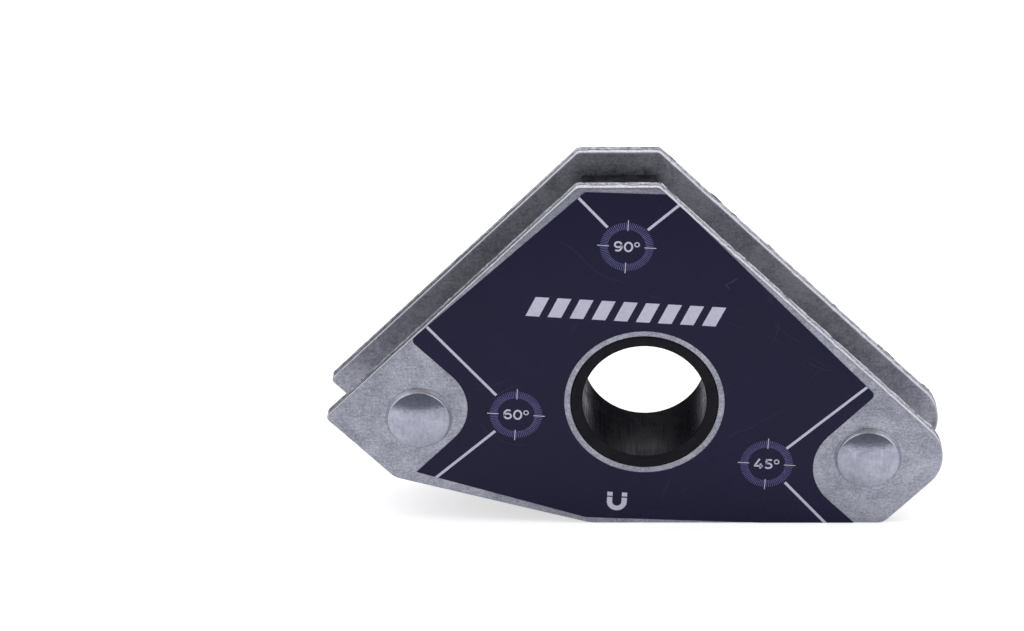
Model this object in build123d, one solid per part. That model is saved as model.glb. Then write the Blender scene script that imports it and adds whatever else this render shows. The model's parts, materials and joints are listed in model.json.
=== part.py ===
from build123d import *
from math import atan2, cos, degrees, hypot, radians, sin, sqrt
import os

# Multi-angle welding magnet holder: two steel pole plates, held apart by ferrite magnets,
# riveted through spacer tubes, with a plastic sleeve through the middle as a finger hole.
# X runs along the length, Y through the thickness (the front faces -Y) and +Z is up.
# The origin is under the middle of the length and the thickness, on the base edge's plane.

# ---- working angles between the plate's edges, degrees ----
peak_angle = 90.0
tip_angle = 60.0
corner_angle = 45.0
end_angle = 90.0  # both ends are cut square to the upper edges

# ---- plates, mm ----
plate_length = 109.6  # over both rounded ends
plate_height = 66.7
plate_thickness = 2.5
plate_gap = 12.0
tip_height = 21.5  # the left end's point, above the base
corner_height = 13.4  # the right end's point, above the base
base_flat = 52.6
tip_radius = 1.0
peak_radius = 1.3
corner_radius = 7.4
base_right_radius = 2.5
base_left_radius = 6.0
slope_radius = 4.0

# ---- finger hole and its sleeve ----
bore_radius = 11.0
sleeve_wall = 2.0
bore_from_tip = 56.5  # along X, from the left end
bore_height = 24.6
sleeve_clearance = 0.1

# ---- rivets and the spacer tubes round their shanks ----
shank_radius = 2.5
shank_clearance = 0.1
head_radius = 6.0
head_shoulder = 0.65  # how far the rim slopes in, up to the dome's edge
head_rim = 1.0
head_height = 2.0
left_rivet_inset = 11.9  # from both edges of the end that the rivet holds
right_rivet_inset = 11.6
spacer_wall = 1.7
spacer_clearance = 0.3

# ---- magnets ----
top_magnet_width = 13.0
top_magnet_recess = 4.3
side_magnet_height = 24.0
side_magnet_recess = 5.0  # from the upper edges to the nearest corner of the block
magnet_spacing = 1.3  # free room to the sleeve and the spacers

# ---- labels ----
label_thickness = 0.12
label_margin = 0.9
label_top_margin = 1.25
label_trim = 0.12  # the least margin, where the label was trimmed along the plate
label_corner = 1.0  # of its upper corners; the lower ones are sharp
label_bore_ring = 1.2  # bare metal left round the sleeve
label_left_radius = 8.8  # bare metal left round the left rivet
label_right_radius = 9.1
front_label_tilt = 2.1  # degrees clockwise, as it was stuck on
front_cutout_tilt = 3.0
back_label_tilt = -0.6
back_cutout_tilt = -0.6

# ---- worked out ----
total_thickness = plate_gap + 2 * plate_thickness
front_face = -total_thickness / 2
back_face = total_thickness / 2
front_inner = -plate_gap / 2
back_inner = plate_gap / 2
sleeve_radius = bore_radius + sleeve_wall
hole_radius = shank_radius + shank_clearance
spacer_bore = shank_radius + spacer_clearance
spacer_radius = spacer_bore + spacer_wall
point_cut = sqrt(2) - 1  # how far rounding a square end shortens it, per mm of radius
tip_x = -plate_length / 2 - tip_radius * point_cut
corner_x = plate_length / 2 + corner_radius * point_cut
bore_x = -plate_length / 2 + bore_from_tip
BORE = (bore_x, bore_height)


def direction(angle):
    """Unit vector in the plate's plane at an angle from +X."""
    return cos(radians(angle)), sin(radians(angle))


def crossing(first, second):
    """Point where two edges meet; an edge is (angle of its outward normal, reach along it)."""
    (ax, az), a = direction(first[0]), first[1]
    (bx, bz), b = direction(second[0]), second[1]
    det = ax * bz - az * bx
    return (a * bz - b * az) / det, (ax * b - bx * a) / det


def edge_through(point, normal_angle):
    nx, nz = direction(normal_angle)
    return normal_angle, nx * point[0] + nz * point[1]


def turned(point, centre, clockwise):
    """A point turned clockwise, as seen from the front, about a centre in the plate's plane."""
    reach = hypot(point[0] - centre[0], point[1] - centre[1])
    angle = degrees(atan2(point[1] - centre[1], point[0] - centre[0])) - clockwise
    x, z = direction(angle)
    return centre[0] + reach * x, centre[1] + reach * z


# Outward normals of the edges, going round from the upper left edge.
upper_right_normal = 90.0 - corner_angle
upper_left_normal = upper_right_normal + 180.0 - peak_angle
slope_normal = upper_left_normal + 180.0 - tip_angle
lower_right_normal = upper_right_normal - (180.0 - end_angle)
lower_left_normal = upper_left_normal + 180.0 - end_angle

tip = (tip_x, tip_height)
corner = (corner_x, corner_height)
base_edge = (-90.0, 0.0)
lower_right_edge = edge_through(corner, lower_right_normal)
base_right = crossing(base_edge, lower_right_edge)
base_left = (base_right[0] - base_flat, 0.0)
plate_edges = [
    edge_through(tip, upper_left_normal),
    (90.0, plate_height),
    edge_through(corner, upper_right_normal),
    lower_right_edge,
    base_edge,
    edge_through(base_left, slope_normal),
    edge_through(tip, lower_left_normal),
]
# The radius of the corner after each edge above.
plate_radii = [
    peak_radius,
    peak_radius,
    corner_radius,
    base_right_radius,
    base_left_radius,
    slope_radius,
    tip_radius,
]


def outline(inset=0.0):
    """The plate's outline as a face in the XZ plane, moved in by an inset."""
    moved = [(normal, reach - inset) for normal, reach in plate_edges]
    after = moved[1:] + moved[:1]
    points = [crossing(edge, following) for edge, following in zip(moved, after)]
    radii = [max(radius - inset, 0.0) for radius in plate_radii]
    return make_face(Plane.XZ * FilletPolyline(*points, radius=radii, close=True))


def disc(centre, radius):
    return Plane.XZ * Location((centre[0], centre[1], 0)) * Circle(radius)


def slab(face, near, far):
    """A face of the XZ plane made solid from Y = near to Y = far."""
    return Pos(0, near, 0) * extrude(face, amount=far - near, dir=(0, 1, 0))


def tube(centre, outer, inner, near, far):
    return slab(disc(centre, outer) - disc(centre, inner), near, far)


def inside_end(upper_edge, lower_edge, inset):
    """The rivet's place in an end: the same distance in from both edges of that end."""
    return crossing(
        (upper_edge[0], upper_edge[1] - inset),
        (lower_edge[0], lower_edge[1] - inset),
    )


left_rivet_at = inside_end(plate_edges[0], plate_edges[6], left_rivet_inset)
right_rivet_at = inside_end(plate_edges[2], plate_edges[3], right_rivet_inset)


def plate(near, far):
    face = outline() - disc(BORE, sleeve_radius + sleeve_clearance)
    for centre in (left_rivet_at, right_rivet_at):
        face -= disc(centre, hole_radius)
    return slab(face, near, far)


def rivet_cutout(rivet_at, radius, out_x, tilt):
    """Square wedge with a round nose, which leaves the metal bare from a rivet out past its end."""
    centre = turned(rivet_at, BORE, tilt)
    nose = (centre[0] - out_x * radius * sqrt(2), centre[1])
    far_x = nose[0] + out_x * plate_length
    above = (far_x, nose[1] + plate_length)
    below = (far_x, nose[1] - plate_length)
    wire = FilletPolyline(above, nose, below, close=True, radius=[0, radius, 0])
    return make_face(Plane.XZ * wire)


def label(near, far, outline_tilt, cutout_tilt):
    """The film on one plate: the plate's outline with a margin, stuck on a little turned."""
    bore_axis = Axis((bore_x, 0, bore_height), (0, 1, 0))
    below_top = Plane.XZ * Rectangle(
        plate_length * 2, plate_height - label_top_margin, align=(Align.CENTER, Align.MIN)
    )
    sheet = (outline(label_margin) & below_top).rotate(bore_axis, outline_tilt)
    sheet -= rivet_cutout(left_rivet_at, label_left_radius, -1, cutout_tilt)
    sheet -= rivet_cutout(right_rivet_at, label_right_radius, 1, cutout_tilt)
    lower_part = sheet & Plane.XZ * Rectangle(
        plate_length * 2, tip_height, align=(Align.CENTER, Align.MIN)
    )
    sheet = offset(offset(sheet, -label_corner), label_corner) + lower_part
    sheet = sheet & outline(label_trim)
    return slab(sheet - disc(BORE, sleeve_radius + label_bore_ring), near, far)


def rivet(centre):
    """A solid rivet: a shank through both plates, with the same low dome at each end."""
    dome_radius = head_radius - head_shoulder
    dome_start = total_thickness / 2 + head_rim
    dome_top = total_thickness / 2 + head_height
    section = Polyline(
        (0, 0),
        (shank_radius, 0),
        (shank_radius, total_thickness / 2),
        (head_radius, total_thickness / 2),
        (dome_radius, dome_start),
    )
    rise = dome_top - dome_start
    ball = (dome_radius**2 + rise**2) / (2 * rise)
    dome = RadiusArc((dome_radius, dome_start), (0, dome_top), -ball)
    axis_line = Line((0, dome_top), (0, 0))
    half = revolve(make_face([section, dome, axis_line]), Axis.Y)
    whole = half + mirror(half, Plane.XZ)
    return Pos(centre[0], 0, centre[1]) * whole


def block(x_from, x_to, z_from, z_to):
    """A magnet, as thick as the room between the plates."""
    middle = Pos((x_from + x_to) / 2, 0, (z_from + z_to) / 2)
    return middle * Box(x_to - x_from, plate_gap, z_to - z_from)


def height_on(edge, x):
    """How high an edge is at x."""
    nx, nz = direction(edge[0])
    return (edge[1] - nx * x) / nz


def top_magnet():
    left = crossing(plate_edges[0], plate_edges[1])[0]
    right = crossing(plate_edges[1], plate_edges[2])[0]
    middle = (left + right) / 2
    half = top_magnet_width / 2
    z_from = bore_height + sleeve_radius + magnet_spacing
    return block(middle - half, middle + half, z_from, plate_height - top_magnet_recess)


def side_magnet(x_from, x_to, outer_x, upper_edge):
    """A block between a spacer and the sleeve, its outer top corner set in from the upper edge."""
    inner_edge = (upper_edge[0], upper_edge[1] - side_magnet_recess)
    z_to = height_on(inner_edge, outer_x)
    return block(x_from, x_to, z_to - side_magnet_height, z_to)


def left_magnet():
    x_from = left_rivet_at[0] + spacer_radius + magnet_spacing
    x_to = bore_x - sleeve_radius - magnet_spacing
    return side_magnet(x_from, x_to, x_from, plate_edges[0])


def right_magnet():
    x_from = bore_x + sleeve_radius + magnet_spacing
    x_to = right_rivet_at[0] - spacer_radius - magnet_spacing
    return side_magnet(x_from, x_to, x_to, plate_edges[2])


nodes = {
    "front_plate": plate(front_face, front_inner),
    "back_plate": plate(back_inner, back_face),
    "front_label": label(
        front_face - label_thickness, front_face, front_label_tilt, front_cutout_tilt
    ),
    "back_label": label(
        back_face, back_face + label_thickness, back_label_tilt, back_cutout_tilt
    ),
    "hole_sleeve": tube(BORE, sleeve_radius, bore_radius, front_face, back_face),
    "top_magnet": top_magnet(),
    "left_magnet": left_magnet(),
    "right_magnet": right_magnet(),
    "left_rivet": rivet(left_rivet_at),
    "right_rivet": rivet(right_rivet_at),
    "left_spacer": tube(left_rivet_at, spacer_radius, spacer_bore, front_inner, back_inner),
    "right_spacer": tube(right_rivet_at, spacer_radius, spacer_bore, front_inner, back_inner),
}

os.makedirs("parts", exist_ok=True)
for name, solid in nodes.items():
    export_step(solid, f"parts/{name}.step")
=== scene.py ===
import bmesh
import bpy
import json
from functools import partial
from math import atan2, ceil, cos, hypot, pi, radians, sin, tau
from mathutils import Matrix, Vector, noise
from mathutils.geometry import tessellate_polygon


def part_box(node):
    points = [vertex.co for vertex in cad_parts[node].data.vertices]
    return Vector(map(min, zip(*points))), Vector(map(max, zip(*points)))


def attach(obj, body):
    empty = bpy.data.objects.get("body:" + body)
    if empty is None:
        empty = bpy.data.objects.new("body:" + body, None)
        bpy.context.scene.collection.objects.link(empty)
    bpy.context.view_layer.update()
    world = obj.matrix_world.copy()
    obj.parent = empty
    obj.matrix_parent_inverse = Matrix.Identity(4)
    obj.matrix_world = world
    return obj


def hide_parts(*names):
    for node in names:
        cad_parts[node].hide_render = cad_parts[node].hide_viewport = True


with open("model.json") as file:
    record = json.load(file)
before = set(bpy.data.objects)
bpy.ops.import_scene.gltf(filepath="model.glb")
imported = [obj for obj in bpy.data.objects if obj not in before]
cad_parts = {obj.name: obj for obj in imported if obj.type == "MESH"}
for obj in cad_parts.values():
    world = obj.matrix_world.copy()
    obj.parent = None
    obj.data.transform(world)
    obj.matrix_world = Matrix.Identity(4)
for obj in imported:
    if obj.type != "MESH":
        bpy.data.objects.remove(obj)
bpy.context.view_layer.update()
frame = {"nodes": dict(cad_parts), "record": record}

MM = 0.001
scene = bpy.context.scene
scene.view_settings.view_transform = "Standard"
mounts = {mount["name"]: mount for mount in frame["record"]["mounts"]}


def centre_of(name):
    low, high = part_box(name)
    return (low + high) / 2


def add_object(name, data):
    made = bpy.data.objects.new(name, data)
    scene.collection.objects.link(made)
    return made


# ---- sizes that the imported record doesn't hold, in metres ----
EDGE_ORDER = ["upper_left", "top", "upper_right", "lower_right", "base", "slope", "lower_left"]
# The radius of the corner after each edge above.
CORNER_RADII = [1.3 * MM, 1.3 * MM, 7.4 * MM, 2.5 * MM, 6.0 * MM, 4.0 * MM, 1.0 * MM]
OUTLINE_STEP = 0.26 * MM
ROLL = 0.3 * MM  # how far the die rolled the outer face's edge in
SHEAR_DEPTH = 0.95 * MM  # from the outer face to where the clean cut tears
HOLE_BREAK = 0.12 * MM  # the broken edges of a plate's holes
SLEEVE_GAP = 0.1 * MM
SLEEVE_CUTS = (0.35 * MM, 0.35 * MM * 0.7, 0.12 * MM)  # its bore's lip and flare, and its edge
SHANK_HOLE = 2.6 * MM
SPACER_BORE = 2.8 * MM
HEAD_SHOULDER = 0.52 * MM
HEAD_RIM = 1.0 * MM
DOME_STEPS = 26
DOME_DIP = 0.035 * MM  # how uneven the press leaves the dome
FOOT_SHADE_RISE = 0.2 * MM  # how far up the head's side the painted shade at its foot reaches
SHANK = 2.5 * MM
FILM = 0.012 * MM  # how thick the printed ink stands on the label
LABEL_TURN = {"front": 2.1, "back": -0.6}  # degrees clockwise, seen from that side
PRINT_TURN = {"front": 3.7, "back": -0.6}
MAGNETS = ["top_magnet", "left_magnet", "right_magnet"]
RIVETS = ["left_rivet", "right_rivet"]
GAP_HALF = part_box("back_plate")[0].y


# ======== node helpers

def node(tree, kind, inputs=None, **settings):
    """Adds a node, sets it up, and sets or links its inputs by name or number."""
    made = tree.nodes.new(kind)
    for name, value in settings.items():
        setattr(made, name, value)
    for name, value in (inputs or {}).items():
        if isinstance(value, bpy.types.NodeSocket):
            tree.links.new(value, made.inputs[name])
        else:
            made.inputs[name].default_value = value
    return made


def out(tree, kind, inputs=None, **settings):
    """Adds a node and gives its first output."""
    return node(tree, kind, inputs, **settings).outputs[0]


def maths(tree, operation, *values, clamp=False):
    inputs = dict(enumerate(values))
    return out(tree, "ShaderNodeMath", inputs, operation=operation, use_clamp=clamp)


def times(tree, first, second, clamp=False):
    return maths(tree, "MULTIPLY", first, second, clamp=clamp)


def weighted(tree, *terms):
    """Adds up values, each given with its share."""
    parts = [times(tree, value, share) for value, share in terms]
    total = parts[0]
    for part in parts[1:]:
        total = maths(tree, "ADD", total, part)
    return total


def split(tree, vector):
    return node(tree, "ShaderNodeSeparateXYZ", {0: vector}).outputs


def join(tree, *parts):
    return out(tree, "ShaderNodeCombineXYZ", dict(enumerate(parts)))


def source(tree, kind, output):
    return tree.nodes.new("ShaderNode" + kind).outputs[output]


def blend_values(tree, factor, first, second):
    return out(tree, "ShaderNodeMix", {0: factor, 2: first, 3: second}, data_type="FLOAT")


def blend_colours(tree, factor, first, second):
    """Mixes two colours, each a socket or its (red, green, blue)."""
    first, second = (side if isinstance(side, bpy.types.NodeSocket) else (*side, 1)
                     for side in (first, second))
    inputs = {0: factor, 6: first, 7: second}
    return node(tree, "ShaderNodeMix", inputs, data_type="RGBA").outputs[2]


def stain(tree, face, mask, amount, colour):
    """Lays a colour over a face where a mask is, at most by an amount."""
    return blend_colours(tree, times(tree, mask, amount), face, colour)


def remap(tree, value, low, high, to_low=0.0, to_high=1.0, smooth=False):
    """Stretches a value from low..high to another range, and stops at its ends."""
    kind = "SMOOTHSTEP" if smooth else "LINEAR"
    inputs = {0: value, 1: low, 2: high, 3: to_low, 4: to_high}
    return out(tree, "ShaderNodeMapRange", inputs, interpolation_type=kind)


FLOAT, INTEGER, VECTOR = "NodeSocketFloat", "NodeSocketInt", "NodeSocketVector"
MATERIAL, SHAPE = "NodeSocketMaterial", "NodeSocketGeometry"


def new_group(name, inputs, output, output_type=FLOAT):
    """A group with named inputs, each (name, type) or (name, type, value), and one output.

    It gives the group, the sockets that its inputs come from, and the one its output goes to.
    """
    tree = bpy.data.node_groups.new(
        name, "GeometryNodeTree" if output_type == SHAPE else "ShaderNodeTree")
    for label, socket_type, *value in inputs:
        socket = tree.interface.new_socket(label, in_out="INPUT", socket_type=socket_type)
        if value:
            socket.default_value = value[0]
    tree.interface.new_socket(output, in_out="OUTPUT", socket_type=output_type)
    given = tree.nodes.new("NodeGroupInput").outputs
    return tree, given, tree.nodes.new("NodeGroupOutput").inputs[0]


# ======== shared shader effects

def make_grain_group():
    """Short streaks along one direction, as rolling or drawing leaves on metal and film."""
    tree, given, result = new_group(
        "drawn grain",
        [("Vector", VECTOR), ("Streaks Per Metre", VECTOR), ("Contrast", FLOAT, 1.0)],
        "Streaks")
    stretched = out(tree, "ShaderNodeVectorMath", {0: given[0], 1: given[1]}, operation="MULTIPLY")
    inputs = {"Vector": stretched, "Scale": 1.0, "Detail": 3.0, "Roughness": 0.6}
    streaks = out(tree, "ShaderNodeTexNoise", inputs)
    centred = maths(tree, "SUBTRACT", streaks, 0.5)
    strong = times(tree, centred, given[2])
    tree.links.new(maths(tree, "ADD", strong, 0.5, clamp=True), result)
    return tree


def make_speck_group():
    """Small round specks: Share of the cells have one, and each is up to Size of its cell."""
    tree, given, result = new_group(
        "specks",
        [("Vector", VECTOR), ("Cells Per Metre", FLOAT, 500.0), ("Share", FLOAT, 0.1),
         ("Size", FLOAT, 0.2)],
        "Mask")
    cells = node(tree, "ShaderNodeTexVoronoi", {"Vector": given[0], "Scale": given[1]})
    draw = node(tree, "ShaderNodeSeparateColor", {0: cells.outputs["Color"]}).outputs
    chosen = maths(tree, "LESS_THAN", draw[0], given[2])
    reach = times(tree, draw[1], given[3])
    near = maths(tree, "SUBTRACT", reach, cells.outputs["Distance"])
    soft = times(tree, near, 12.0, clamp=True)
    tree.links.new(times(tree, soft, chosen), result)
    return tree


def make_cloud_group():
    """Soft blotches between two thresholds, for handling marks, dust and uneven plating."""
    tree, given, result = new_group(
        "blotches",
        [("Vector", VECTOR), ("Blotches Per Metre", FLOAT, 100.0), ("Low", FLOAT, 0.3),
         ("High", FLOAT, 0.7)],
        "Mask")
    inputs = {"Vector": given[0], "Scale": given[1], "Detail": 5.0, "Roughness": 0.62,
              "Distortion": 0.4}
    clouds = out(tree, "ShaderNodeTexNoise", inputs)
    tree.links.new(remap(tree, clouds, given[2], given[3], smooth=True), result)
    return tree


def make_scratch_group():
    """Sparse thin scratches that run at an angle round the Y axis."""
    tree, given, result = new_group(
        "fine scratches",
        [("Vector", VECTOR), ("Turn", VECTOR), ("Per Metre", FLOAT, 60.0), ("Width", FLOAT, 0.02)],
        "Mask")
    turned = out(tree, "ShaderNodeVectorRotate", {"Vector": given[0], "Rotation": given[1]},
                 rotation_type="EULER_XYZ")
    wobble = out(tree, "ShaderNodeTexNoise", {"Vector": turned, "Scale": 35.0})
    parts = split(tree, turned)
    across = maths(tree, "ADD", parts[2], times(tree, wobble, 0.02))
    along = times(tree, parts[0], 0.12)
    flat = join(tree, along, 0.0, across)
    cells = out(tree, "ShaderNodeTexVoronoi", {"Vector": flat, "Scale": given[2]},
                feature="DISTANCE_TO_EDGE")
    line = remap(tree, cells, 0.0, given[3], 1.0, 0.0)
    broken = out(tree, "ShaderNodeTexNoise", {"Vector": turned, "Scale": 150.0})
    kept = remap(tree, broken, 0.52, 0.6)
    tree.links.new(times(tree, line, kept), result)
    return tree


GRAIN = make_grain_group()
SPECKS = make_speck_group()
CLOUDS = make_cloud_group()
SCRATCHES = make_scratch_group()


def effect(tree, vector, group, *values):
    """Places one of the shared effects and gives its mask; the values follow its inputs in order."""
    made = tree.nodes.new("ShaderNodeGroup")
    made.node_tree = group
    tree.links.new(vector, made.inputs[0])
    for number, value in enumerate(values, start=1):
        made.inputs[number].default_value = value
    return made.outputs[0]


def new_material(name, **shader_values):
    """A material with one Principled shader, its constants set on the shader's own sockets.

    It gives the material, its tree and a way to place effects on the object's coordinates.
    """
    made = bpy.data.materials.new(name)
    made.use_nodes = True
    tree = made.node_tree
    for socket, value in shader_values.items():
        tree.nodes["Principled BSDF"].inputs[socket.replace("_", " ")].default_value = value
    return made, tree, partial(effect, tree, source(tree, "TexCoord", "Object"))


def dress(made, colour, roughness, height, depth):
    """Links a material's colour, roughness and relief; the relief's depth is in metres."""
    tree = made.node_tree
    relief = out(tree, "ShaderNodeBump", {"Height": height, "Distance": depth, "Strength": 1.0})
    shader = tree.nodes["Principled BSDF"].inputs
    for socket, value in (("Base Color", colour), ("Roughness", roughness), ("Normal", relief)):
        tree.links.new(value, shader[socket])
    return made


def attribute(tree, name):
    return node(tree, "ShaderNodeAttribute", attribute_name=name).outputs["Fac"]


# ======== materials

def near_block(tree, place, low, high, reach):
    """1 beside a block, as seen along Y, falling to 0 at a reach from its sides."""
    parts = split(tree, place)
    gaps = []
    for axis in (0, 2):
        middle, half = (low[axis] + high[axis]) / 2, (high[axis] - low[axis]) / 2
        away = maths(tree, "ABSOLUTE", maths(tree, "SUBTRACT", parts[axis], middle))
        gaps.append(maths(tree, "MAXIMUM", maths(tree, "SUBTRACT", away, half), 0.0))
    gap = maths(tree, "SQRT", weighted(tree, *((side, side) for side in gaps)))
    return remap(tree, gap, 0.0, reach, 1.0, 0.0, smooth=True)


def zinc_plate():
    """Zinc-plated rolled sheet with a clean-sheared and torn edge, grease smears inside and painted
    shade beside the magnets.
    """
    made, tree, mark = new_material("zinc_plate", Specular_IOR_Level=0.3)
    place = source(tree, "TexCoord", "Object")
    grain = mark(GRAIN, (900.0, 900.0, 4600.0), 2.2)
    blotches = mark(CLOUDS, 230.0)
    broad = mark(CLOUDS, 60.0)
    fine = mark(CLOUDS, 2600.0)
    tone = weighted(tree, (grain, 0.26), (blotches, 0.24), (fine, 0.36), (broad, 0.14))
    face = blend_colours(tree, tone, (0.205, 0.21, 0.27), (0.97, 0.975, 1.0))
    dark = mark(SPECKS, 620.0, 0.2, 0.17)
    face = stain(tree, face, dark, 0.6, (0.10, 0.10, 0.12))
    face = stain(tree, face, mark(SPECKS, 700.0, 0.1, 0.18), 0.7, (0.97, 0.97, 1.0))
    # Filings and grease smear the inner faces; beside the magnets, between the plates, the darkening is
    # painted shade.
    depth = maths(tree, "ABSOLUTE", split(tree, place)[1])
    inside = maths(tree, "LESS_THAN", depth, GAP_HALF + 0.02 * MM)
    smears = mark(CLOUDS, 190.0, 0.5, 0.68)
    patches = remap(tree, mark(CLOUDS, 620.0, 0.28, 0.72), 0.0, 1.0, 0.55, 1.0)
    grime_and_painted_shade = times(tree, smears, 0.35)
    # Painted shade on the inner faces beside each magnet, in the gap between the plates.
    for name in MAGNETS:
        low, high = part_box(name)
        beside = near_block(tree, place, low, high, 3.0 * MM)
        grime_and_painted_shade = maths(tree, "MAXIMUM", grime_and_painted_shade, times(tree, beside, patches))
    grime_and_painted_shade = times(tree, grime_and_painted_shade, inside)
    face = stain(tree, face, grime_and_painted_shade, 0.9, (0.035, 0.034, 0.04))
    # The edge's own streaks run through the thickness.
    drag = mark(GRAIN, (3800.0, 260.0, 3800.0), 2.6)
    torn = attribute(tree, "torn")
    burnished = attribute(tree, "burnished")
    clean = blend_colours(tree, drag, (0.66, 0.66, 0.72), (0.98, 0.98, 1.0))
    face = blend_colours(tree, burnished, face, clean)
    rough_metal = mark(CLOUDS, 1300.0, 0.28, 0.72)
    ripped = blend_colours(tree, rough_metal, (0.24, 0.24, 0.29), (0.95, 0.95, 1.0))
    face = blend_colours(tree, torn, face, ripped)
    # Painted shade: a dark line, broken here and there, wherever an edge row is both burnished and
    # torn, as where the clean cut ends and the torn part begins.
    step = times(tree, times(tree, burnished, torn), 4.0)
    broken = mark(CLOUDS, 420.0, 0.3, 0.5)
    painted_crease_shade = times(tree, step, broken, clamp=True)
    face = stain(tree, face, painted_crease_shade, 0.8, (0.04, 0.04, 0.045))
    metal = blend_values(tree, inside, 0.88, 0.7)
    tree.links.new(metal, tree.nodes["Principled BSDF"].inputs["Metallic"])
    roughness = remap(tree, tone, 0.2, 0.8, 0.46, 0.27)
    for mask, value in ((burnished, 0.2), (torn, 0.46), (grime_and_painted_shade, 0.75)):
        roughness = blend_values(tree, mask, roughness, value)
    height = weighted(tree, (grain, 0.5), (fine, 0.5), (dark, -0.6))
    height = blend_values(tree, torn, height, times(tree, rough_metal, 4.0))
    return dress(made, face, roughness, height, 0.008 * MM)


def rivet_zinc():
    """Pressed rivet head: fine plating, soft dents from the press, and painted shade at its foot where
    it meets the plate.
    """
    made, tree, mark = new_material("rivet_zinc", Metallic=1.0)
    fine = mark(CLOUDS, 1400.0, 0.25, 0.75)
    blotches = mark(CLOUDS, 260.0)
    streaks = mark(GRAIN, (2600.0, 2600.0, 420.0), 1.8)
    tone = weighted(tree, (fine, 0.3), (blotches, 0.35), (streaks, 0.35))
    face = blend_colours(tree, tone, (0.46, 0.47, 0.54), (0.92, 0.92, 0.98))
    face = stain(tree, face, mark(SPECKS, 900.0, 0.14, 0.14), 0.5, (0.14, 0.14, 0.16))
    # Painted shade at the head's foot, where it meets the plate.
    face = stain(tree, face, attribute(tree, "painted_foot_shade"), 0.4, (0.16, 0.15, 0.15))
    dents = mark(CLOUDS, 420.0, 0.2, 0.8)
    height = weighted(tree, (dents, 1.2), (fine, 1.5))
    return dress(made, face, remap(tree, tone, 0.2, 0.8, 0.25, 0.15), height, 0.006 * MM)


def spacer_zinc():
    """Turned tube: rings round the axis, so streaks that are short along Y."""
    made, tree, mark = new_material("spacer_zinc", Metallic=1.0)
    rings = mark(GRAIN, (60.0, 4200.0, 60.0), 2.0)
    blotches = mark(CLOUDS, 300.0)
    tone = weighted(tree, (rings, 0.6), (blotches, 0.4))
    face = blend_colours(tree, tone, (0.34, 0.34, 0.38), (0.62, 0.62, 0.66))
    return dress(made, face, remap(tree, tone, 0.2, 0.8, 0.5, 0.32), rings, 0.01 * MM)


def navy_film():
    """Dark printed film, glossy, with a faint texture, dust and hairline scratches."""
    made, tree, mark = new_material("navy_film", IOR=1.5, Specular_IOR_Level=0.25)
    cloudy = mark(CLOUDS, 45.0, 0.25, 0.75)
    weave = mark(CLOUDS, 1800.0)
    tone = weighted(tree, (cloudy, 0.6), (weave, 0.4))
    film = blend_colours(tree, tone, (0.0165, 0.0128, 0.044), (0.021, 0.0165, 0.055))
    dust = mark(SPECKS, 170.0, 0.16, 0.075)
    crumbs = mark(SPECKS, 90.0, 0.1, 0.06)
    hair = mark(SCRATCHES, (0.0, 0.9, 0.0), 40.0, 0.004)
    second = mark(SCRATCHES, (0.0, -0.5, 0.0), 33.0, 0.003)
    lines = maths(tree, "MAXIMUM", hair, second)
    marks = maths(tree, "MAXIMUM", times(tree, dust, 0.4), crumbs)
    film = stain(tree, film, lines, 0.04, (0.5, 0.5, 0.58))
    film = stain(tree, film, marks, 0.4, (0.6, 0.6, 0.66))
    roughness = blend_values(tree, marks, remap(tree, tone, 0.2, 0.8, 0.34, 0.26), 0.8)
    height = weighted(tree, (weave, 0.3), (cloudy, 0.7), (lines, -0.5))
    return dress(made, film, roughness, height, 0.006 * MM)


def ink(name, thin, full, roughness):
    """Printed ink, a little uneven where the screen let less through."""
    made, tree, mark = new_material(name)
    cover = mark(CLOUDS, 1600.0, 0.25, 0.7)
    drift = mark(CLOUDS, 120.0)
    tone = weighted(tree, (cover, 0.6), (drift, 0.4))
    return dress(made, blend_colours(tree, tone, thin, full),
                 remap(tree, cover, 0.0, 1.0, roughness + 0.1, roughness), cover, 0.002 * MM)


def black_nylon(centre, bore):
    """Moulded black plastic: fine rings on the end faces and drag marks along the bore."""
    made, tree, mark = new_material("black_nylon", IOR=1.48, Specular_IOR_Level=0.22)
    place = source(tree, "TexCoord", "Object")
    local = out(tree, "ShaderNodeVectorMath", {0: place, 1: tuple(-centre)}, operation="ADD")
    parts = split(tree, local)
    round_axis = times(tree, maths(tree, "ARCTAN2", parts[2], parts[0]), bore)
    spoke = join(tree, parts[0], 0.0, parts[2])
    radius = node(tree, "ShaderNodeVectorMath", {0: spoke}, operation="LENGTH").outputs["Value"]
    unrolled = join(tree, round_axis, parts[1], radius)
    drag = effect(tree, unrolled, GRAIN, (2200.0, 70.0, 2200.0), 3.4)
    rings = effect(tree, unrolled, GRAIN, (120.0, 120.0, 9000.0), 2.0)
    cloudy = mark(CLOUDS, 240.0)
    tone = weighted(tree, (drag, 0.5), (cloudy, 0.5))
    plastic = blend_colours(tree, tone, (0.006, 0.0055, 0.008), (0.013, 0.012, 0.016))
    plastic = stain(tree, plastic, mark(SPECKS, 420.0, 0.07, 0.12), 0.3, (0.4, 0.4, 0.44))
    return dress(made, plastic, remap(tree, tone, 0.2, 0.8, 0.42, 0.18),
                 maths(tree, "ADD", drag, rings), 0.006 * MM)


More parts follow.
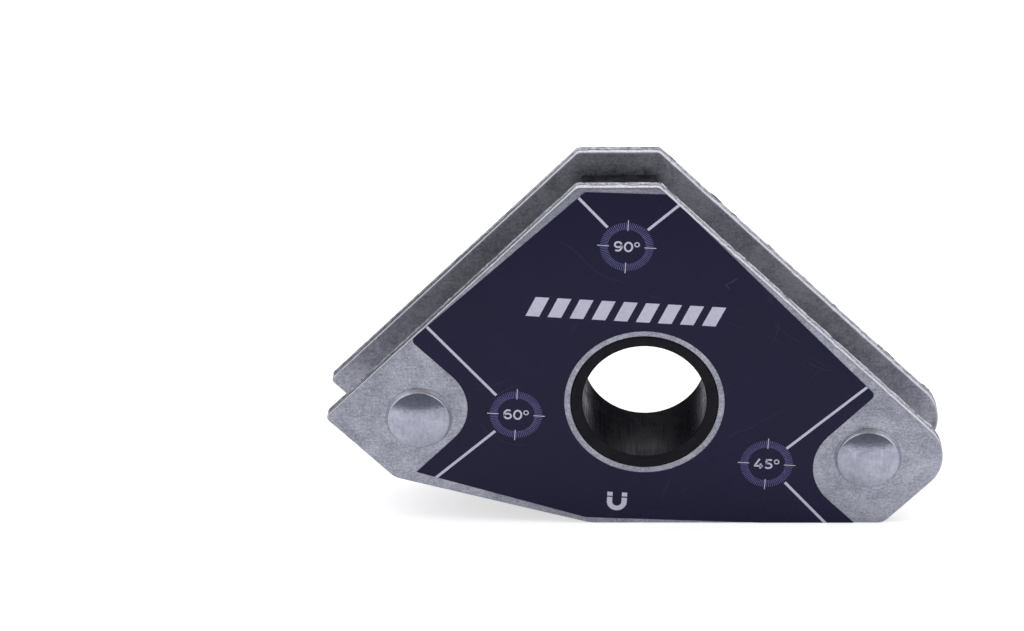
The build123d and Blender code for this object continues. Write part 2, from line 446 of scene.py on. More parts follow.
def grey_ferrite():
    """Sintered ferrite: ground grey-black, with pores and a film of grinding dust on top."""
    made, tree, mark = new_material("grey_ferrite", Specular_IOR_Level=0.3)
    ground = mark(GRAIN, (300.0, 3600.0, 3600.0), 1.8)
    blotches = mark(CLOUDS, 320.0)
    tone = weighted(tree, (ground, 0.5), (blotches, 0.5))
    face = blend_colours(tree, tone, (0.003, 0.003, 0.0045), (0.011, 0.011, 0.0145))
    pores = mark(SPECKS, 1100.0, 0.22, 0.22)
    face = blend_colours(tree, pores, face, (0.004, 0.004, 0.005))
    up = split(tree, source(tree, "NewGeometry", "Normal"))[2]
    dust = times(tree, mark(CLOUDS, 700.0, 0.42, 0.62), remap(tree, up, 0.5, 0.95))
    face = stain(tree, face, dust, 0.06, (0.2, 0.2, 0.22))
    return dress(made, face, remap(tree, tone, 0.2, 0.8, 0.62, 0.46),
                 maths(tree, "SUBTRACT", ground, pores), 0.02 * MM)


# ======== geometry node trees

def shape(tree, kind, inputs=None, **settings):
    """Adds a geometry node and gives its first output."""
    return out(tree, "GeometryNode" + kind, inputs, **settings)


def end_tree(tree, skin, finish, result):
    """Every tree ends in Realize Instances and Set Material."""
    real = shape(tree, "RealizeInstances", {"Geometry": skin})
    painted = shape(tree, "SetMaterial", {"Geometry": real, "Material": finish})
    tree.links.new(painted, result)


def make_lathe_tree():
    """Turns a profile (X the radius, Y along the axis) round the Z axis into a closed skin."""
    tree, given, result = new_group(
        "turned on a lathe",
        [("Profile", SHAPE), ("Steps", INTEGER, 160), ("Guide Radius", FLOAT, 0.02),
         ("Weld", FLOAT, 0.000001), ("Finish", MATERIAL)],
        "Skin", SHAPE)
    section = shape(tree, "MeshToCurve", {"Mesh": given["Profile"]})
    back = times(tree, given["Guide Radius"], -1.0)
    shift = join(tree, back)
    section = shape(tree, "SetPosition", {"Geometry": section, "Offset": shift})
    path = shape(tree, "CurvePrimitiveCircle",
                 {"Resolution": given["Steps"], "Radius": given["Guide Radius"]})
    skin = shape(tree, "CurveToMesh", {"Curve": path, "Profile Curve": section})
    skin = shape(tree, "MergeByDistance", {"Geometry": skin, "Distance": given["Weld"]})
    end_tree(tree, skin, given["Finish"], result)
    return tree


def make_stroke_tree():
    """Lays a flat ribbon of ink along every line of a drawing in the XY plane."""
    tree, given, result = new_group(
        "printed strokes",
        [("Lines", SHAPE), ("Width", FLOAT, 0.0004), ("Height", FLOAT, 0.00001),
         ("Finish", MATERIAL)],
        "Ribbons", SHAPE)
    lines = shape(tree, "MeshToCurve", {"Mesh": given["Lines"]})
    section = shape(tree, "CurvePrimitiveQuadrilateral",
                    {"Width": given["Width"], "Height": given["Height"]})
    ribbons = shape(tree, "CurveToMesh",
                    {"Curve": lines, "Profile Curve": section, "Fill Caps": True})
    end_tree(tree, ribbons, given["Finish"], result)
    return tree


def make_dial_tree():
    """A ring of fine ticks with a long tick at each quarter, in the XY plane."""
    tree, given, result = new_group(
        "protractor dial",
        [("Start", SHAPE), ("Ticks", INTEGER, 80), ("Quarter", INTEGER, 20),
         ("Fine Radius", FLOAT, 0.004), ("Fine Length", FLOAT, 0.0014), ("Fine Width", FLOAT, 0.0001),
         ("Long Radius", FLOAT, 0.0042), ("Long Length", FLOAT, 0.0024), ("Long Width", FLOAT, 0.0002),
         ("Height", FLOAT, 0.00001), ("Fine Ink", MATERIAL), ("Long Ink", MATERIAL)],
        "Dial", SHAPE)
    number = shape(tree, "InputIndex")
    rest = maths(tree, "MODULO", number, given["Quarter"])
    is_quarter = maths(tree, "LESS_THAN", rest, 0.5)
    is_fine = maths(tree, "SUBTRACT", 1.0, is_quarter)
    place = shape(tree, "InputPosition")
    outward = out(tree, "FunctionNodeAlignRotationToVector", {"Vector": place}, axis="X")
    joined = node(tree, "GeometryNodeJoinGeometry")
    for kind, picked, value in (("Fine", is_fine, 0.0), ("Long", is_quarter, 1.0)):
        ring = shape(tree, "MeshCircle",
                     {"Vertices": given["Ticks"], "Radius": given[kind + " Radius"]})
        size = join(tree, given[kind + " Length"], given[kind + " Width"], given["Height"])
        tick = shape(tree, "MeshCube", {"Size": size})
        marked = shape(tree, "StoreNamedAttribute",
                       {"Geometry": tick, "Name": "long_tick", "Value": value},
                       data_type="FLOAT", domain="FACE")
        placed = shape(tree, "InstanceOnPoints", {
            "Points": ring, "Selection": picked, "Instance": marked, "Rotation": outward})
        tree.links.new(placed, joined.inputs[0])
    real = shape(tree, "RealizeInstances", {"Geometry": joined.outputs[0]})
    fine = shape(tree, "SetMaterial", {"Geometry": real, "Material": given["Fine Ink"]})
    which = shape(tree, "InputNamedAttribute", {"Name": "long_tick"}, data_type="FLOAT")
    is_long = maths(tree, "GREATER_THAN", which, 0.5)
    painted = shape(tree, "SetMaterial",
                    {"Geometry": fine, "Selection": is_long, "Material": given["Long Ink"]})
    tree.links.new(painted, result)
    return tree


def make_row_tree():
    """Repeats one block along X."""
    tree, given, result = new_group(
        "row of blocks",
        [("Block", SHAPE), ("Count", INTEGER, 9), ("Pitch", FLOAT, 0.004), ("Finish", MATERIAL)],
        "Row", SHAPE)
    step = join(tree, given["Pitch"])
    spots = shape(tree, "MeshLine", {"Count": given["Count"], "Offset": step})
    placed = shape(tree, "InstanceOnPoints", {"Points": spots, "Instance": given["Block"]})
    end_tree(tree, placed, given["Finish"], result)
    return tree


LATHE = make_lathe_tree()
STROKES = make_stroke_tree()
DIAL = make_dial_tree()
ROW = make_row_tree()


def grow(tree, base, **values):
    """Runs a tree on a mesh, its inputs set by their identifiers, and gives the plain result."""
    holder = add_object("holder", base)
    modifier = holder.modifiers.new("tree", "NODES")
    modifier.node_group = tree
    for item in tree.interface.items_tree:
        key = item.name.replace(" ", "_")
        if item.in_out == "INPUT" and key in values:
            modifier[item.identifier] = values[key]
    bpy.context.view_layer.update()
    ready = holder.evaluated_get(bpy.context.evaluated_depsgraph_get())
    made = bpy.data.meshes.new_from_object(ready)
    bpy.data.objects.remove(holder)
    return made


# ======== meshes and pieces

def tidy_mesh(mesh, sharp=32.0):
    """Welds doubles, points the faces outwards and shades smooth up to an angle."""
    skin = bmesh.new()
    skin.from_mesh(mesh)
    bmesh.ops.remove_doubles(skin, verts=skin.verts, dist=1e-8)
    bmesh.ops.recalc_face_normals(skin, faces=skin.faces)
    skin.to_mesh(mesh)
    skin.free()
    mesh.shade_smooth()
    mesh.set_sharp_from_angle(angle=radians(sharp))
    return mesh


def make_piece(name, mesh, material=None, replaced=None):
    """Shows a mesh as one piece of the holder."""
    piece = add_object(name, mesh)
    if material:
        mesh.materials.clear()
        mesh.materials.append(material)
    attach(piece, "root")
    if replaced:
        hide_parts(replaced)


def new_mesh(name, verts, faces, edges=()):
    mesh = bpy.data.meshes.new(name)
    mesh.from_pydata(verts, edges, faces)
    return mesh


def line_mesh(paths):
    """Paths as a mesh of edges in the XY plane; each is (points, closed)."""
    verts, edges = [], []
    for points, closed in paths:
        start = len(verts)
        verts += [(x, y, 0.0) for x, y in points]
        edges += [(start + n, start + n + 1) for n in range(len(points) - 1)]
        if closed:
            edges.append((start + len(points) - 1, start))
    return new_mesh("lines", verts, [], edges)


# ---- the plates ----

def crossing(first, second):
    """Where two edges meet; an edge is (angle of its outward normal, reach along it)."""
    (a, reach_a), (b, reach_b) = first, second
    det = cos(a) * sin(b) - sin(a) * cos(b)
    return ((reach_a * sin(b) - reach_b * sin(a)) / det, (cos(a) * reach_b - cos(b) * reach_a) / det)


def plate_edges():
    edges = []
    for name in EDGE_ORDER:
        mount = mounts[name + "_edge"]
        axis, at = mount["axis"], mount["pos_m"]
        edges.append((atan2(axis[2], axis[0]), axis[0] * at[0] + axis[2] * at[2]))
    return edges


def plate_outline():
    """Points round a plate, each (x, z, outward x, outward z), evenly spaced."""
    edges = plate_edges()
    arcs = []
    for place, radius in enumerate(CORNER_RADII):
        (a, reach_a), (b, reach_b) = edges[place], edges[(place + 1) % len(edges)]
        centre = crossing((a, reach_a - radius), (b, reach_b - radius))
        sweep = (b - a) % tau - tau
        count = max(7, ceil(-sweep * radius / OUTLINE_STEP))
        angles = [a + sweep * n / count for n in range(count + 1)]
        arcs.append([(centre[0] + radius * cos(t), centre[1] + radius * sin(t), cos(t), sin(t))
                     for t in angles])
    points = []
    for place, arc in enumerate(arcs):
        points += arc
        start, end = arc[-1], arcs[(place + 1) % len(arcs)][0]
        count = ceil(hypot(end[0] - start[0], end[1] - start[1]) / OUTLINE_STEP)
        for n in range(1, count):
            share = n / count
            points.append((start[0] + (end[0] - start[0]) * share,
                           start[1] + (end[1] - start[1]) * share, start[2], start[3]))
    return points


def sheared_profile(x, z, out_x, out_z, thick, seed):
    """The cut edge at one point: rows of (depth, inset, burnished, torn) from the outer face in.

    The punch rolls the face's edge over, shears it clean, and tears the rest with a burr.
    """
    here = Vector((x, z, seed)) / MM
    slant = max(0.0, (out_x + out_z) / 2 ** 0.5)
    heavy = 0.4 + 0.6 * slant ** 3  # worst along the upper right

    def wave(per_mm, shift):
        return noise.noise(here * per_mm + Vector((shift, shift, seed * 900)))

    ragged = 0.34 * wave(0.4, 3) + 0.24 * wave(1.2, 7) + 0.12 * wave(3.1, 11)
    clean = SHEAR_DEPTH + heavy * ragged * 1.4 * MM
    clean = min(max(clean, 0.5 * MM), thick - 0.9 * MM)
    dent = max(0.0, wave(0.55, 21) - 0.25) * 0.28 * MM * heavy
    base = dent + (0.5 + 0.5 * wave(0.16, 31)) * 0.09 * MM * heavy
    rows = []
    for share in (0.0, 0.25, 0.5, 0.75, 1.0):
        turn = share * pi / 2
        rows.append((ROLL * 0.7 * (1 - cos(turn)), base + ROLL * (1 - sin(turn)), share, 0.0))
    lip = (0.05 + 0.08 * heavy) * MM
    # Rows that are both burnished and torn get a painted dark line of shade in the plate's material.
    rows += [
        (clean * 0.6, base, 1.0, 0.0),
        (clean, base + 0.01 * MM * wave(2.0, 41), 1.0, 0.0),
        (clean + 0.16 * MM, base + lip * 0.5, 0.6, 0.6),
        (clean + 0.36 * MM, base + lip, 0.5, 0.5),
    ]
    # Along the upper right a second crack runs before the burr; the material paints a dark line of
    # shade at the crack and paints the burr bright as a highlight.
    lean = max(0.0, slant - 0.9) * 10
    for share, shine, tear in ((0.45, 0.0, 1.0), (0.6, 0.0, 1.0), (0.75, 0.5, 0.5), (0.85, 0.9, 0.0)):
        depth = clean + (thick - clean) * share
        rough = noise.noise(Vector((x, z, depth)) / MM * 2.3 + Vector((5, 5, seed * 700)))
        rows.append((depth, base + lip + (0.03 + 0.09 * heavy) * MM * rough, shine * lean,
                     1.0 - (1.0 - tear) * lean))
    burr = 0.03 * MM * (1 + wave(1.7, 51))
    burr -= 0.22 * MM * max(0.0, wave(0.5, 61) + 0.4 * wave(1.7, 71)) * lean
    return rows + [(thick - 0.14 * MM, base + burr, 0.5 + 0.4 * lean, 0.5 - 0.5 * lean),
                   (thick, base + burr + 0.06 * MM, 0.3 + 0.5 * lean, 0.5 - 0.5 * lean)]


def ring_points(centre, radius, count):
    return [(centre.x + radius * cos(tau * n / count), centre.z + radius * sin(tau * n / count))
            for n in range(count)]


def sheared_plate(name, holes, outer_y, inner_y, seed, material):
    """One pole plate: two faces with holes, a sheared outer edge and broken hole edges."""
    thick = abs(inner_y - outer_y)
    inward = (inner_y - outer_y) / thick
    verts, faces, burnished, torn = [], [], [], []

    def add_loop(points):
        """Adds a loop of points, each (x, z, depth, burnished, torn), and gives their numbers."""
        start = len(verts)
        for x, z, depth, shine, tear in points:
            verts.append((x, outer_y + inward * depth, z))
            burnished.append(shine)
            torn.append(tear)
        return list(range(start, len(verts)))

    def skin(loops):
        for near, far in zip(loops, loops[1:]):
            count = len(near)
            for n in range(count):
                m = (n + 1) % count
                faces.append((near[n], near[m], far[m], far[n]))

    outline = plate_outline()
    profiles = [sheared_profile(*point, thick, seed) for point in outline]
    loops = [add_loop([(x - out_x * inset, z - out_z * inset, depth, shine, tear)
                       for (x, z, out_x, out_z), (depth, inset, shine, tear) in zip(outline, row)])
             for row in zip(*profiles)]
    skin(loops)
    outer_loops, inner_loops = [loops[0]], [loops[-1]]
    for centre, radius in holes:
        count = 160 if radius > 5 * MM else 48
        # Each row of the hole's wall is (depth, how much wider, burnished, torn).
        wall = [(0.0, HOLE_BREAK, 0.0, 0.0), (HOLE_BREAK, 0.0, 1.0, 0.0), (thick * 0.4, 0.0, 1.0, 0.3),
                (thick - HOLE_BREAK, 0.0, 0.0, 1.0), (thick, HOLE_BREAK, 0.0, 0.0)]
        rings = [add_loop([(x, z, depth, shine, tear)
                           for x, z in ring_points(centre, radius + wider, count)])
                 for depth, wider, shine, tear in wall]
        skin(rings)
        outer_loops.append(rings[0])
        inner_loops.append(rings[-1])
    for cap in (outer_loops, inner_loops):
        flat = [index for loop in cap for index in loop]
        corners = [[Vector((verts[n][0], verts[n][2], 0.0)) for n in loop] for loop in cap]
        faces += [tuple(flat[n] for n in face) for face in tessellate_polygon(corners)]
    mesh = new_mesh(name, verts, faces)
    for label, values in (("burnished", burnished), ("torn", torn)):
        mesh.attributes.new(label, "FLOAT", "POINT").data.foreach_set("value", values)
    tidy_mesh(mesh, 50.0)
    for face in mesh.polygons:
        if abs(face.normal.y) > 0.9999:
            face.use_smooth = False
    make_piece(name + "_steel", mesh, material, name)


# ---- turned pieces ----

TO_ROW_AXIS = Matrix(((1, 0, 0, 0), (0, 0, 1, 0), (0, 1, 0, 0), (0, 0, 0, 1)))


def turned_mesh(profile, closed, centre, steps, finish):
    """A profile turned round an axis along Y through a centre."""
    mesh = grow(LATHE, line_mesh([(profile, closed)]), Steps=steps, Finish=finish)
    mesh.transform(Matrix.Translation(Vector((centre.x, 0, centre.z))) @ TO_ROW_AXIS)
    return tidy_mesh(mesh)


def rounded(points, radius, closed=True, steps=4):
    """A drawing's corners rounded: each corner becomes a small arc."""
    made = []
    count = len(points)
    for n, point in enumerate(points):
        here = Vector(point)
        if not closed and n in (0, count - 1):
            made.append(point)
            continue
        before, after = Vector(points[n - 1]) - here, Vector(points[(n + 1) % count]) - here
        reach = min(radius, before.length * 0.45, after.length * 0.45)
        start, end = here + before.normalized() * reach, here + after.normalized() * reach
        for step in range(steps + 1):
            t = step / steps
            spot = start * (1 - t) ** 2 + here * 2 * t * (1 - t) + end * t * t
            made.append((spot.x, spot.y))
    return made


def tube_profile(inner, outer, low, high, lip, flare, edge):
    """A tube's section; its bore is cut lip deep and flare wide, and its outer corners by edge."""
    return [(inner, low + lip), (inner + flare, low), (outer - edge, low), (outer, low + edge),
            (outer, high - edge), (outer - edge, high), (inner + flare, high), (inner, high - lip)]


def rivet_profile(head, face, top):
    """A rivet's section from one dome's middle to the other's, with a rounded rim on each head."""
    edge, shoulder = head - HEAD_SHOULDER, face + HEAD_RIM
    rise = top - shoulder
    ball = (edge ** 2 + rise ** 2) / (2 * rise)
    widest = atan2(edge, ball - rise)
    turns = [widest * n / DOME_STEPS for n in range(DOME_STEPS)]
    dome = [(ball * sin(turn), top - ball * (1 - cos(turn))) for turn in turns]
    rim = rounded([dome[-1], (edge, shoulder - 0.02 * MM), (head - 0.05 * MM, face + 0.12 * MM),
                   (head - 0.02 * MM, face)], 0.3 * MM, closed=False, steps=7)
    side = dome[:-1] + rim + [(SHANK, face)]
    return side + [(x, -y) for x, y in reversed(side)]


def make_rivet(name, finish):
    low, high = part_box(name)
    centre = centre_of(name)
    head = (high.x - low.x) / 2
    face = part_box("back_plate")[1].y
    mesh = turned_mesh(rivet_profile(head, face, high.y), False, centre, 144, finish)
    edge = head - HEAD_SHOULDER
    painted_foot_shade = []
    for vertex in mesh.vertices:
        spot = vertex.co
        away = hypot(spot.x - centre.x, spot.z - centre.z)
        if abs(spot.y) > face + HEAD_RIM * 0.5 and away < edge:
            # The press leaves the dome a little uneven.
            dip = (0.5 + 0.5 * noise.noise(spot * 330.0)) * (1 - (away / edge) ** 4)
            spot.y -= DOME_DIP * dip * (1 if spot.y > 0 else -1)
        # A mask for the painted shade at the head's foot: 1 at the plate's face, 0 higher up.
        painted_foot_shade.append(min(1.0, max(0.0, (face + FOOT_SHADE_RISE - abs(spot.y)) / FOOT_SHADE_RISE)))
    mesh.attributes.new("painted_foot_shade", "FLOAT", "POINT").data.foreach_set("value", painted_foot_shade)
    make_piece(name + "_pressed", mesh, finish, name)


def make_spacer(name, finish):
    low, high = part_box(name)
    cut = 0.3 * MM
    profile = tube_profile(SPACER_BORE, (high.x - low.x) / 2, low.y, high.y, cut, cut, cut)
    mesh = turned_mesh(profile, True, centre_of(name), 96, finish)
    make_piece(name + "_tube", mesh, finish, name)


# ---- magnets ----

def make_magnet(name, finish, seed):
    """A sintered block: rounded edges that are chipped here and there."""
    low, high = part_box(name)
    centre, half = (low + high) / 2, (high - low) / 2
    skin = bmesh.new()
    bmesh.ops.create_cube(skin, size=2.0)
    bmesh.ops.subdivide_edges(skin, edges=skin.edges, cuts=47, use_grid_fill=True)
    for vertex in skin.verts:
        # Rows crowd towards the edges, where the shape changes.
        spot = Vector((sin(c * pi / 2) for c in vertex.co))
        p = Vector((spot.x * half.x, spot.y * half.y, spot.z * half.z))
        chip = noise.noise((p + centre) / MM * 0.5 + Vector((seed, seed, seed)))
        fine = noise.noise((p + centre) / MM * 1.9 + Vector((seed, 0, seed)))
        radius = (0.38 + 1.4 * max(0.0, chip - 0.22) + 0.16 * fine) * MM
        core = Vector((max(-h + radius, min(h - radius, c)) for c, h in zip(p, half)))
        away = p - core
        if away.length > radius:
            p = core + away.normalized() * radius
        vertex.co = centre + p
    mesh = bpy.data.meshes.new(name)
    skin.to_mesh(mesh)
    skin.free()
    tidy_mesh(mesh, 60.0)
    make_piece(name + "_ferrite", mesh, finish, name)


# ---- printed marks ----

def arc(x, y, reach_x, reach_y, start, end, count=14):
    """Points on an ellipse from one angle to another, in degrees, anticlockwise when it rises."""
    turns = [radians(start + (end - start) * n / count) for n in range(count + 1)]
    return [(x + reach_x * cos(t), y + reach_y * sin(t)) for t in turns]


# Each sign is drawn 1 high in its own box: its width, and its strokes as (points, closed).
NINE = [
    (arc(0.37, 0.67, 0.285, 0.245, 0, 350, 30), True),
    (arc(0.355, 0.5, 0.33, 0.415, 30, -125, 22), False),
]
DIGITS = {
    "0": (0.81, [(arc(0.405, 0.5, 0.32, 0.415, 0, 352, 40), True)]),
    "4": (0.84, [([(0.49, 0.97), (0.11, 0.31)], False), ([(0.03, 0.265), (0.81, 0.265)], False),
                 ([(0.60, 0.50), (0.60, 0.0)], False)]),
    "5": (0.74, [([(0.15, 0.915), (0.64, 0.915)], False), ([(0.185, 0.98), (0.15, 0.52)], False),
                 ([(0.09, 0.565)] + arc(0.34, 0.325, 0.31, 0.24, 92, -142, 24), False)]),
    "6": (0.77, [([(0.77 - x, 1 - y) for x, y in points], closed) for points, closed in NINE]),
    "9": (0.77, NINE),
}
SIGN_GAP = 0.095
DIGIT_HEIGHT = 2.02 * MM
NUMBER_STROKE = 0.33 * MM
RING_STROKE = 0.2 * MM
RING_WIDTH = 0.49
RING_TUCK = 0.02  # how much closer the degree ring stands


def number_paths(digits, x, y):
    """A number's strokes and its degree ring's stroke, centred together on a point."""
    width = sum(DIGITS[sign][0] + SIGN_GAP for sign in digits) + RING_WIDTH - RING_TUCK
    pen = -width / 2
    paths = []

    def placed(points):
        return [(x + (px + pen) * DIGIT_HEIGHT, y + (py - 0.5) * DIGIT_HEIGHT) for px, py in points]

    for sign in digits:
        advance, strokes = DIGITS[sign]
        paths += [(placed(points), closed) for points, closed in strokes]
        pen += advance + SIGN_GAP
    pen -= RING_TUCK
    ring = arc(RING_WIDTH / 2, 0.755, 0.194, 0.194, 0, 345, 28)
    return paths, [(placed(ring), True)]


def stroked(paths, width, ink_used):
    return grow(STROKES, line_mesh(paths), Width=width, Height=FILM, Finish=ink_used)


def prism(polygon, height):
    """A flat polygon in the XY plane made a thin closed slab round Z = 0."""
    count = len(polygon)
    verts = [(x, y, z) for z in (-height / 2, height / 2) for x, y in polygon]
    faces = [tuple(range(count)), tuple(range(count, 2 * count))]
    faces += [(n, (n + 1) % count, count + (n + 1) % count, count + n) for n in range(count)]
    return verts, faces


def clipped(polygon, half_planes):
    """A convex polygon cut by half planes, each (normal x, normal y, reach)."""
    for nx, ny, reach in half_planes:
        kept = []
        for n, (x, y) in enumerate(polygon):
            ax, ay = polygon[n - 1]
            before, here = nx * ax + ny * ay - reach, nx * x + ny * y - reach
            if (before > 0) != (here > 0):
                share = before / (before - here)
                kept.append((ax + (x - ax) * share, ay + (y - ay) * share))
            if here <= 0:
                kept.append((x, y))
        polygon = kept
    return polygon


# The print's layout on the front, in millimetres from the finger hole's centre.
DIALS = {"90": (-4.97, 30.51), "60": (-22.6, -3.86), "45": (22.49, -10.98)}
# Each leader starts this far from its dial's centre, at this angle, and runs out past the label.
LEADERS = [("90", 135, 5.0), ("90", 45, 4.9), ("60", 135, 5.2), ("60", 225, 5.0), ("45", 45, 4.7),
           ("45", -45, 5.0)]
DIAL_SIZES = {
    "Ticks": 80, "Quarter": 20,
    "Fine_Radius": 4.0 * MM, "Fine_Length": 1.36 * MM, "Fine_Width": 0.085 * MM,
    "Long_Radius": 4.12 * MM, "Long_Length": 2.05 * MM, "Long_Width": 0.15 * MM,
}
LEADER_WIDTH = 0.5 * MM
LABEL_MARGIN = 0.9 * MM
LABEL_TRIM = 0.12 * MM
BAND = (-21.9, 15.95, 13.0, 19.75)  # left, bottom, right, top of the row of slanted blocks
BAND_BLOCKS = 9
BLOCK_SHARE = 0.62  # how much of its pitch a block takes up
BLOCK_SLANT = 0.42  # how far it leans, as a share of its height
SIGN = (-3.7, -20.2)  # the magnet sign's centre
SIGN_BEND = 1.3 * MM
SIGN_STROKE = 0.95 * MM
SCUFF = (13.6, 24.6)  # a small scratch in the front label, and its three points from there
SCUFF_TURNS = [(1.0, 0.9), (-0.9, -0.5), (-0.1, -1.1)]
SCUFF_STROKE = 0.08 * MM


def print_label(side):
    """Prints one label: dials, numbers, leader lines, a band of blocks and a magnet sign."""
    front = side == "front"
    turn = radians(PRINT_TURN[side])
    hole = Vector(mounts["finger_hole"]["pos_m"])
    hand = 1 if front else -1
    right = Vector((hand * cos(turn), 0, -sin(turn)))
    up = Vector((hand * sin(turn), 0, cos(turn)))
    facing = Vector((0, -hand, 0))
    outer_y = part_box(side + "_label")[0 if front else 1].y
    sheet = Matrix((right, up, facing)).transposed().to_4x4()
    sheet.translation = Vector((hole.x, outer_y, hole.z)) + facing * (FILM / 2)

    def at(x, y):
        """A layout point in metres; the back's layout is mirrored, and its numbers aren't."""
        return Vector((hand * x * MM, y * MM))

    # The label's own edges, in the print's plane: the margin all round, and the trim.
    limits = []
    for angle, reach in plate_edges():
        for inset, turned in ((LABEL_MARGIN, radians(LABEL_TURN[side])), (LABEL_TRIM, 0.0)):
            outward = Vector((cos(angle), 0, sin(angle)))
            own = reach - inset - outward.dot(Vector((hole.x, 0, hole.z)))
            outward = Matrix.Rotation(turned * hand, 3, "Y") @ outward
            limits.append((outward.dot(right), outward.dot(up), own))

    def finish(name, mesh, material=None):
        mesh.transform(sheet)
        tidy_mesh(mesh, 20.0)
        make_piece(side + "_" + name, mesh, material)

    for number, spot in DIALS.items():
        centre = at(*spot)
        dial = grow(DIAL, bpy.data.meshes.new("start"), Height=FILM, Fine_Ink=VIOLET_INK,
                    Long_Ink=PALE_INK, **DIAL_SIZES)
        dial.transform(Matrix.Translation((centre.x, centre.y, 0)))
        finish("dial_" + number, dial)
        strokes, ring = number_paths(number, centre.x, centre.y)
        for label, paths, width in (("number_", strokes, NUMBER_STROKE),
                                    ("degree_ring_", ring, RING_STROKE)):
            finish(label + number, stroked(paths, width, PALE_INK))

    verts, faces = [], []
    for number, angle, start in LEADERS:
        turned = radians(angle if front else 180 - angle)
        along = Vector((cos(turned), sin(turned)))
        across = Vector((-along.y, along.x)) * LEADER_WIDTH / 2
        near = at(*DIALS[number]) + along * start * MM
        far = near + along * 60 * MM
        bar = [tuple(p) for p in (near - across, far - across, far + across, near + across)]
        bar_verts, bar_faces = prism(clipped(bar, limits), FILM)
        faces += [tuple(n + len(verts) for n in face) for face in bar_faces]
        verts += bar_verts
    finish("leader_lines", new_mesh("leaders", verts, faces), PALE_INK)

    left, bottom, band_right, top = BAND
    pitch = (band_right - left) / BAND_BLOCKS * MM
    slant = BLOCK_SLANT * (top - bottom) * MM
    width, height = pitch * BLOCK_SHARE, (top - bottom) * MM
    block = prism([(0, 0), (width, 0), (width + slant, height), (slant, height)], FILM)
    row = grow(ROW, new_mesh("block", *block), Count=BAND_BLOCKS, Pitch=pitch, Finish=PALE_INK)
    start_x = (left if front else -band_right) * MM
    row.transform(Matrix.Translation((start_x, bottom * MM, 0)))
    finish("band", row)

    centre = at(*SIGN)
    bend = arc(centre.x, centre.y - 0.2 * MM, SIGN_BEND, SIGN_BEND, 180, 360, 20)
    first, last = bend[0][0], bend[-1][0]
    leg = bend[0][1] + 0.9 * MM
    poles = [([(x, centre.y + 0.95 * MM), (x, centre.y + 1.75 * MM)], False) for x in (first, last)]
    sign = [([(first, leg)] + bend + [(last, leg)], False), *poles]
    finish("magnet_sign", stroked(sign, SIGN_STROKE, PALE_INK))

    if front:
        nick = [at(SCUFF[0] + x, SCUFF[1] + y) for x, y in SCUFF_TURNS]
        finish("label_scuff", stroked([(nick, False)], SCUFF_STROKE, SCUFF_GREY))


# ======== the holder

ZINC = zinc_plate()
RIVET = rivet_zinc()
SPACER = spacer_zinc()
NAVY = navy_film()
PALE_INK = ink("pale_ink", (0.74, 0.72, 0.86), (0.90, 0.88, 0.98), 0.42)
VIOLET_INK = ink("violet_ink", (0.15, 0.145, 0.38), (0.29, 0.28, 0.60), 0.45)
SCUFF_GREY = ink("scuff_grey", (0.035, 0.033, 0.06), (0.22, 0.22, 0.27), 0.5)
FERRITE = grey_ferrite()

sleeve_low, sleeve_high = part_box("hole_sleeve")
sleeve_centre = centre_of("hole_sleeve")
sleeve_outer = (sleeve_high.x - sleeve_low.x) / 2
sleeve_inner = mounts["finger_hole"]["dims"]["r_mm"] * MM
NYLON = black_nylon(sleeve_centre, sleeve_inner)

plate_holes = [(sleeve_centre, sleeve_outer + SLEEVE_GAP)]
plate_holes += [(centre_of(name), SHANK_HOLE) for name in RIVETS]
for name, seed in (("front_plate", 1.3), ("back_plate", 5.7)):
    low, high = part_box(name)
    sheared_plate(name, plate_holes, low.y, high.y, seed, ZINC)

profile = tube_profile(sleeve_inner, sleeve_outer, sleeve_low.y, sleeve_high.y, *SLEEVE_CUTS)
mesh = turned_mesh(rounded(profile, 0.22 * MM), True, sleeve_centre, 192, NYLON)
make_piece("hole_sleeve_moulded", mesh, NYLON, "hole_sleeve")
for name in RIVETS:
    make_rivet(name, RIVET)
for name in ("left_spacer", "right_spacer"):
    make_spacer(name, SPACER)
for number, name in enumerate(MAGNETS):
    make_magnet(name, FERRITE, 10.0 + 7 * number)
for side in ("front", "back"):
    label = frame["nodes"][side + "_label"]
    label.data.materials.clear()
    label.data.materials.append(NAVY)
    print_label(side)


# ======== floor, light and camera

CAMERA_PLACE = (0.003586, -0.6824, 0.3860)
CAMERA_TURNS = (2.131, -27.031, -1.063)  # heading, pitch and roll, in degrees
CAMERA_LENS = 151.6  # millimetres


def make_camera():
    """A camera looking along +Y, turned by its heading, then tipped by its pitch and its roll."""
    h, p, r = (radians(angle) for angle in CAMERA_TURNS)
    forward = Vector((-sin(h) * cos(p), cos(h) * cos(p), sin(p)))
    level = Vector((cos(h), sin(h), 0))
    above = Vector((sin(h) * sin(p), -cos(h) * sin(p), cos(p)))
    right = cos(r) * level + sin(r) * above
    up = cos(r) * above - sin(r) * level
    data = bpy.data.cameras.new("camera")
    data.sensor_width = 36
    data.lens = CAMERA_LENS
    camera = add_object("camera", data)
    turn = Matrix((right, up, -forward)).transposed().to_4x4()
    camera.matrix_world = Matrix.Translation(CAMERA_PLACE) @ turn
    scene.camera = camera


def studio_sheet(name, corners, material):
    mesh = new_mesh(name, corners, [(0, 1, 2, 3)])
    mesh.materials.append(material)
    sheet = add_object(name, mesh)
    return sheet


make_camera()

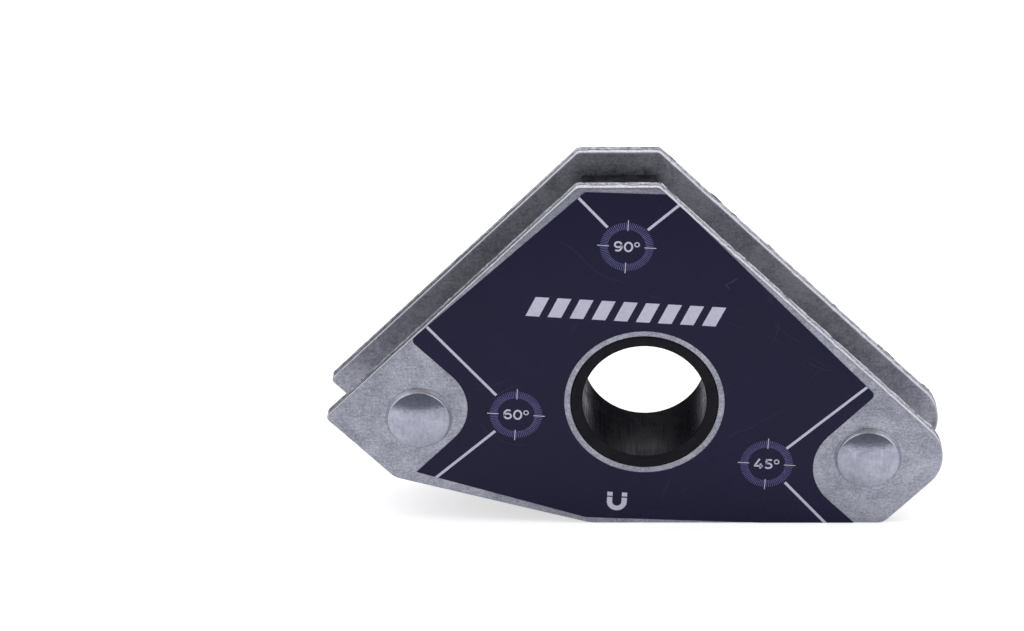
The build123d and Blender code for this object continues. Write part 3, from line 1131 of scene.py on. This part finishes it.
# The paper is white to the camera and a softer grey in what it lends to the metal.
paper, tree, mark = new_material(
    "floor_paper", Roughness=0.9, Specular_IOR_Level=0.1, Emission_Strength=0.62)
shader = tree.nodes["Principled BSDF"].inputs
fibres = mark(CLOUDS, 900.0)
white = blend_colours(tree, fibres, (0.55, 0.55, 0.55), (0.57, 0.57, 0.57))
soft = blend_colours(tree, fibres, (0.465, 0.47, 0.52), (0.485, 0.49, 0.54))
seen = source(tree, "LightPath", "Is Camera Ray")
tree.links.new(blend_colours(tree, seen, soft, white), shader["Base Color"])
tree.links.new(blend_colours(tree, seen, (0, 0, 0), (1, 1, 1)), shader["Emission Color"])
studio_sheet("floor", [(-4, -4, 0), (4, -4, 0), (4, 4, 0), (-4, 4, 0)], paper)


def reflection_card(name, colour, corners, soft):
    """A card that only mirror-like surfaces see, for the studio's dark parts; soft ones fade out."""
    paint = bpy.data.materials.new(name + "_paint")
    paint.use_nodes = True
    tree = paint.node_tree
    tree.nodes.clear()
    glow = out(tree, "ShaderNodeEmission", {"Color": (*colour, 1), "Strength": 1.0})
    if soft:
        clear = out(tree, "ShaderNodeBsdfTransparent")
        across, _, up = split(tree, source(tree, "TexCoord", "Generated"))
        sides = [maths(tree, "ABSOLUTE", maths(tree, "SUBTRACT", share, 0.5)) for share in (across, up)]
        solid = remap(tree, maths(tree, "MAXIMUM", *sides), 0.34, 0.5, 1.0, 0.0, smooth=True)
        glow = out(tree, "ShaderNodeMixShader", {0: solid, 1: clear, 2: glow})
    tree.links.new(glow, tree.nodes.new("ShaderNodeOutputMaterial").inputs[0])
    card = studio_sheet(name, corners, paint)
    for kind in ("camera", "diffuse", "shadow", "transmission"):
        setattr(card, "visible_" + kind, False)


# The front card lies on the floor; the others stand behind the holder.
LYING = 0.0005
reflection_card("front_card", (0.10, 0.105, 0.14), [
    (-1.5, -1.5, LYING), (1.5, -1.5, LYING), (0.2, -0.14, LYING), (-0.2, -0.14, LYING)], False)
reflection_card("rear_left_card", (0.05, 0.05, 0.07), [
    (-0.19, 0.07, 0.0), (-0.03, 0.10, 0.0), (-0.03, 0.10, 0.075), (-0.19, 0.07, 0.055)], True)
reflection_card("hole_card", (0.01, 0.01, 0.015), [
    (-0.045, 0.04, 0.004), (0.045, 0.04, 0.004), (0.045, 0.04, 0.04), (-0.045, 0.04, 0.04)], True)

world = bpy.data.worlds.new("studio")
scene.world = world
world.use_nodes = True
tree = world.node_tree
toward = split(tree, source(tree, "TexCoord", "Generated"))
# White walls behind and at both sides; dark in front of the holder and over it.
not_behind = remap(tree, toward[1], 0.1, 0.35, 1.0, 0.0, smooth=True)
aside = maths(tree, "ABSOLUTE", toward[0])
lifted = times(tree, maths(tree, "MAXIMUM", toward[2], 0.0), 0.6)
between = remap(tree, maths(tree, "ADD", aside, lifted), 0.68, 0.82, 1.0, 0.0, smooth=True)
shade = times(tree, not_behind, between)
room = blend_colours(tree, shade, (0.82, 0.82, 0.86), (0.11, 0.115, 0.15))
above = remap(tree, toward[2], 0.82, 0.93, smooth=True)
room = blend_colours(tree, above, room, (0.46, 0.44, 0.43))
seen = source(tree, "LightPath", "Is Camera Ray")
room = blend_colours(tree, seen, room, (1, 1, 1))
tree.links.new(room, tree.nodes["Background"].inputs["Color"])
tree.nodes["Background"].inputs["Strength"].default_value = 1.0

lamp_data = bpy.data.lights.new("overhead", "AREA")
lamp_data.shape = "RECTANGLE"
lamp_data.size = 1.6
lamp_data.size_y = 1.2
lamp_data.energy = 17.0
lamp = add_object("overhead", lamp_data)
lamp.location = (0, 0, 1.4)
lamp.visible_camera = False
lamp.visible_glossy = False
